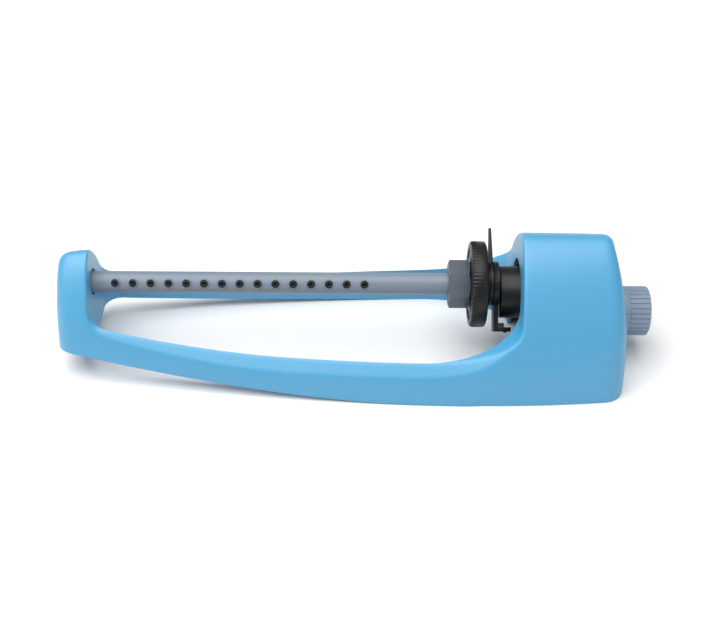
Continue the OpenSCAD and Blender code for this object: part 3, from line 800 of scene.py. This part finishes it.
class SPRINKLER_OT_nut(Operator):
    """Model the hexagonal coupling nut with turned chamfers"""

    bl_idname = "sprinkler.nut"
    bl_label = "Coupling Nut"

    def execute(self, context):
        k = sizes("controls")
        length = NUT_HIGH[0] - NUT_LOW[0]
        corner = k.nut_flats / math.sqrt(3)
        turn = k.nut_turn
        points = [(NUT_LOW[0], corner * math.cos(turn + i * math.pi / 3),
                   AXIS_Z + corner * math.sin(turn + i * math.pi / 3)) for i in range(6)]
        obj = slab("hex", points, (length, 0, 0))
        flat = k.nut_flats / 2
        c = 1.1 * MM
        cone = lathe("chamfer", [(-0.1 * MM, 0), (length + 0.1 * MM, 0), (length + 0.1 * MM, flat - 0.3 * MM),
                                 (length - c, corner + 0.4 * MM), (c, corner + 0.4 * MM),
                                 (-0.1 * MM, flat - 0.3 * MM)], NUT_LOW[0], 0, AXIS_Z, 128)
        combine(obj, cone, "INTERSECT")
        combine(obj, rod(NUT_LOW[0] - 1 * MM, 0, AXIS_Z, 7.7 * MM, length + 2 * MM))
        combine(obj, rod(NUT_LOW[0] + 5.5 * MM, 0, AXIS_Z, 9.7 * MM, length))
        soften(obj, 0.35 * MM, 2)
        finish_piece(obj, "coupling_nut_moulded", "spray_arm", "hex_grey", finish_for("hex_grey"),
                     "coupling_nut")
        return {"FINISHED"}


class SPRINKLER_OT_dial(Operator):
    """Model the flow dial with its notched outer rim and chamfers"""

    bl_idname = "sprinkler.dial"
    bl_label = "Flow Dial"

    def execute(self, context):
        k = sizes("controls")
        r = (DIAL_HIGH[2] - DIAL_LOW[2]) / 2
        hub_l = 2.2 * MM
        length = DIAL_HIGH[0] - DIAL_LOW[0]
        t = length - hub_l
        c = k.chamfer
        bore = k.shaft_radius + 0.05 * MM
        recess = 1.0 * MM
        profile = [(0, bore), (0, 19 * MM), (recess, 20 * MM), (recess, r - 6 * MM), (0, r - 5 * MM),
                   (0, r - c), (c * 0.3, r - c * 0.35), (c, r), (t / 2, r), (t - c, r),
                   (t - c * 0.3, r - c * 0.35), (t, r - c), (t, k.hub_radius), (length, k.hub_radius),
                   (length, bore)]
        obj = lathe("dial", profile, DIAL_LOW[0], 0, AXIS_Z, k.grips * 4)
        depth = 0.5 * MM
        for v in obj.data.vertices:
            radial = Vector((0, v.co.y, v.co.z - AXIS_Z))
            if radial.length > r - c * 0.5 and v.co.x < DIAL_LOW[0] + c * 1.05:
                step = round(math.atan2(radial.z, radial.y) / math.tau * k.grips * 4) % 4
                drop = depth * (0, 0.55, 1, 0.55)[step]
                v.co -= radial.normalized() * drop
        shade(obj, 30)
        finish_piece(obj, "flow_dial_notched", "dial", "black_plastic", finish_for("black_plastic"), "flow_dial")
        return {"FINISHED"}


class SPRINKLER_OT_rings(Operator):
    """Model the two stop rings with their fin and thumb tab"""

    bl_idname = "sprinkler.rings"
    bl_label = "Stop Rings"

    def execute(self, context):
        k = sizes("controls")
        self.ring("stop_ring_fin", "fin_ring", k, self.fin())
        self.ring("stop_ring_thumb", "thumb_ring", k, self.tab())
        return {"FINISHED"}

    def ring(self, node, body, k, arm):
        low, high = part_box(node)
        t = {"stop_ring_fin": 2.8 * MM, "stop_ring_thumb": 3.3 * MM}[node]
        r = {"stop_ring_fin": 15 * MM, "stop_ring_thumb": 16 * MM}[node]
        obj = rod(low[0], 0, AXIS_Z, r, t)
        combine(obj, arm, "UNION")
        combine(obj, rod(low[0] - 1 * MM, 0, AXIS_Z, k.shaft_radius + 0.05 * MM, t + 2 * MM))
        soften(obj, 0.4 * MM, 2)
        finish_piece(obj, node + "_moulded", body, "black_plastic", finish_for("black_plastic"), node)

    def fin(self):
        """A thin fin, thick at its root, that stands up and back."""
        reach = 39 * MM
        points = [(0, 12 * MM), (2.8 * MM, 12 * MM), (2.8 * MM, 16 * MM), (1.4 * MM, reach), (0, reach)]
        arm = slab("fin", [(x, y, -4 * MM) for x, y in points], (0, 0, 8 * MM))
        turn = Matrix.Rotation(sizes("controls").fin_tilt, 4, "X")
        return place(arm, Matrix.Translation((FIN_LOW[0], 0, AXIS_Z)) @ turn)

    def tab(self):
        """A rounded thumb pad that steps out over the motor's nose, with a rib across it."""
        reach = 33 * MM
        half = 6.5 * MM
        wide = 12.5 * MM
        corner = 4 * MM
        arm = slab("arm", [(x, y, -half) for x, y in ((0, 10 * MM), (3.3 * MM, 10 * MM), (3.3 * MM, reach - 1 * MM),
                                                      (0, reach - 1 * MM))], (0, 0, 2 * half))
        rim = [(0, -half)] + arc(wide - corner, corner - half, corner, -90, 0, 10)
        rim += arc(wide - corner, half - corner, corner, 0, 90, 10) + [(0, half)]
        combine(arm, slab("pad", [(x, reach - 3 * MM, z) for x, z in rim], (0, 3 * MM, 0)), "UNION")
        combine(arm, block((0.5 * MM, 27 * MM, -1.4 * MM), (8 * MM, reach - 1 * MM, 1.4 * MM)), "UNION")
        rib = upright("rib", [(0, 0), (0, 1 * MM), (8 * MM, 1 * MM), (8 * MM, 0)])
        rib = place(rib, Matrix.Translation((8.5 * MM, reach - 0.2 * MM, -4 * MM)))
        combine(arm, rib, "UNION")
        turn = Matrix.Rotation(sizes("controls").tab_tilt, 4, "X")
        return place(arm, Matrix.Translation((TAB_LOW[0], 0, AXIS_Z)) @ turn)


class SPRINKLER_OT_motor(Operator):
    """Model the motor's nose, and the bush at the head"""

    bl_idname = "sprinkler.motor"
    bl_label = "Motor Nose and Bush"

    def execute(self, context):
        for node, body in (("gear_case_cover", "base"), ("end_bush", "base")):
            rebuilt(node, body, "black_plastic", 0.35 * MM)
        return {"FINISHED"}


class SPRINKLER_OT_hose_nut(Operator):
    """Model the ribbed hose nut with a rounded mouth"""

    bl_idname = "sprinkler.hose_nut"
    bl_label = "Hose Nut"

    def execute(self, context):
        k = sizes("controls")
        length = HOSE_HIGH[0] - HOSE_LOW[0]
        r = (HOSE_HIGH[2] - HOSE_LOW[2]) / 2
        body_r = r - 0.9 * MM
        soft = 1.6 * MM
        profile = [(0, 11.05 * MM), (5 * MM, 11.05 * MM), (5 * MM, 13.6 * MM), (10.2 * MM, 13.6 * MM),
                   (10.2 * MM, 13.2 * MM), (length - 0.8 * MM, 13.2 * MM), (length, 14 * MM),
                   (length, body_r - soft)]
        profile += [(length - soft + a, body_r - soft + b) for a, b in arc(0, 0, soft, 20, 90, 5)]
        profile += [(4.6 * MM, body_r), (4.2 * MM, r - 0.2 * MM), (3.8 * MM, r), (1 * MM, r),
                    (0.4 * MM, r - 0.2 * MM), (0, r - 0.8 * MM)]
        obj = lathe("hose", profile, HOSE_LOW[0], 0, INLET_Z, k.hose_ribs * 6)
        for v in obj.data.vertices:
            along = v.co.x - HOSE_LOW[0]
            radial = Vector((0, v.co.y, v.co.z - INLET_Z))
            if along > 4.5 * MM and radial.length > body_r - soft * 1.05:
                step = round(math.atan2(radial.z, radial.y) / math.tau * k.hose_ribs * 6) % 6
                lift = 0.9 * MM * (1, 1, 0.1, 0, 0.1, 1)[step]
                v.co += radial.normalized() * lift * min(1, (length - along) / soft + 0.15)
        shade(obj, 30)
        finish_piece(obj, "hose_nut_ribbed", "hose_end", "hose_grey", finish_for("hose_grey"), "hose_nut")
        return {"FINISHED"}


def rebuilt(node, body, slot, width):
    """A copy of a CAD node with its facets joined and its edges rounded, standing in its place."""
    source = frame["nodes"][node]
    obj = source.copy()
    obj.data = source.data.copy()
    bpy.context.scene.collection.objects.link(obj)
    world = source.matrix_world.copy()
    obj.parent = None
    obj.matrix_world = Matrix.Identity(4)
    obj.data.transform(world)
    edit(obj, (bpy.ops.mesh.remove_doubles, {"threshold": 0.005 * MM}),
         (bpy.ops.mesh.dissolve_limited, {"angle_limit": math.radians(1)}))
    soften(obj, width)
    return finish_piece(obj, node + "_moulded", body, slot, finish_for(slot), node)


class SPRINKLER_OT_inner_parts(Operator):
    """Give the carried-over parts of the motor, seals and fasteners their finishes"""

    bl_idname = "sprinkler.inner_parts"
    bl_label = "Inner Parts"

    def execute(self, context):
        for part in frame["record"]["subparts"]:
            node = frame["nodes"][part["node"]]
            node.data.materials.clear()
            node.data.materials.append(finish_for(part["material_slot"]))
        return {"FINISHED"}


# ---------------------------------------------------------------- stage


class SPRINKLER_OT_stage(Operator):
    """Lay the floor and set the studio light and the camera"""

    bl_idname = "sprinkler.stage"
    bl_label = "Stage"

    def execute(self, context):
        self.floor()
        self.sky()
        self.lamp("overhead", (-0.35, -0.15, 1.9), 2.4, 50.0)
        self.lamp("key", (-1.1, -0.5, 0.9), 1.0, 5.0)
        self.lamp("fill", (0.95, -1.1, 0.8), 1.2, 1.5)
        self.camera()
        return {"FINISHED"}

    def floor(self):
        deselect()
        bpy.ops.mesh.primitive_plane_add(size=8)
        floor = bpy.context.object
        floor.name = "floor"
        s = Shader("pale_floor")
        tint = s.noise(3, 2)
        s.set(Base_Color=s.mix(tint, (0.86, 0.86, 0.86, 1), (0.90, 0.90, 0.90, 1)), Roughness=0.9)
        floor.data.materials.append(s.material)

    def sky(self):
        world = bpy.data.worlds.new("studio")
        bpy.context.scene.world = world
        world.use_nodes = True
        back = world.node_tree.nodes["Background"]
        back.inputs["Color"].default_value = (1, 1, 1, 1)
        back.inputs["Strength"].default_value = 0.38

    def lamp(self, name, place_at, size, power):
        deselect()
        bpy.ops.object.light_add(type="AREA", location=place_at)
        lamp = bpy.context.object
        lamp.name = name
        lamp.data.shape = "DISK"
        lamp.data.size = size
        lamp.data.energy = power
        lamp.rotation_euler = (Vector((0, 0, 0.03)) - lamp.location).to_track_quat("-Z", "Y").to_euler()

    def camera(self):
        g = sizes("stage")
        back = Vector((0, -math.cos(g.elevation), math.sin(g.elevation)))
        deselect()
        bpy.ops.object.camera_add(location=Vector((0, 0, g.look_height)) + back * g.distance)
        camera = bpy.context.object
        camera.data.lens = g.lens
        camera.data.sensor_width = 36
        turn = Matrix.Rotation(g.roll, 4, back)
        camera.rotation_euler = (turn @ (-back).to_track_quat("-Z", "Y").to_matrix().to_4x4()).to_euler()
        context_scene = bpy.context.scene
        context_scene.camera = camera
        context_scene.view_settings.view_transform = "Standard"


# ---------------------------------------------------------------- add-on

OPERATORS = (
    SPRINKLER_OT_stage,
    SPRINKLER_OT_sled,
    SPRINKLER_OT_tube,
    SPRINKLER_OT_jets,
    SPRINKLER_OT_nut,
    SPRINKLER_OT_dial,
    SPRINKLER_OT_rings,
    SPRINKLER_OT_motor,
    SPRINKLER_OT_hose_nut,
    SPRINKLER_OT_inner_parts,
)
GROUPS = {"sled": SledSizes, "tube": TubeSizes, "controls": ControlSizes, "finishes": Finishes,
          "stage": StageSettings}


class SPRINKLER_PT_panel(Panel):
    """Lists the sprinkler's pieces in the sidebar"""

    bl_idname = "SPRINKLER_PT_panel"
    bl_label = "Sprinkler"
    bl_space_type = "VIEW_3D"
    bl_region_type = "UI"
    bl_category = "Sprinkler"

    def draw(self, context):
        for operator in OPERATORS:
            self.layout.operator(operator.bl_idname)


def register():
    for cls in (*GROUPS.values(), *OPERATORS, SPRINKLER_PT_panel):
        bpy.utils.register_class(cls)
    for name, group in GROUPS.items():
        setattr(bpy.types.Scene, "sprinkler_" + name, PointerProperty(type=group))


def unregister():
    for name in GROUPS:
        delattr(bpy.types.Scene, "sprinkler_" + name)
    for cls in (SPRINKLER_PT_panel, *reversed(OPERATORS), *reversed(GROUPS.values())):
        bpy.utils.unregister_class(cls)


def main():
    register()
    for operator in OPERATORS:
        group, name = operator.bl_idname.split(".")
        getattr(getattr(bpy.ops, group), name)()


if __name__ == "__main__":
    main()
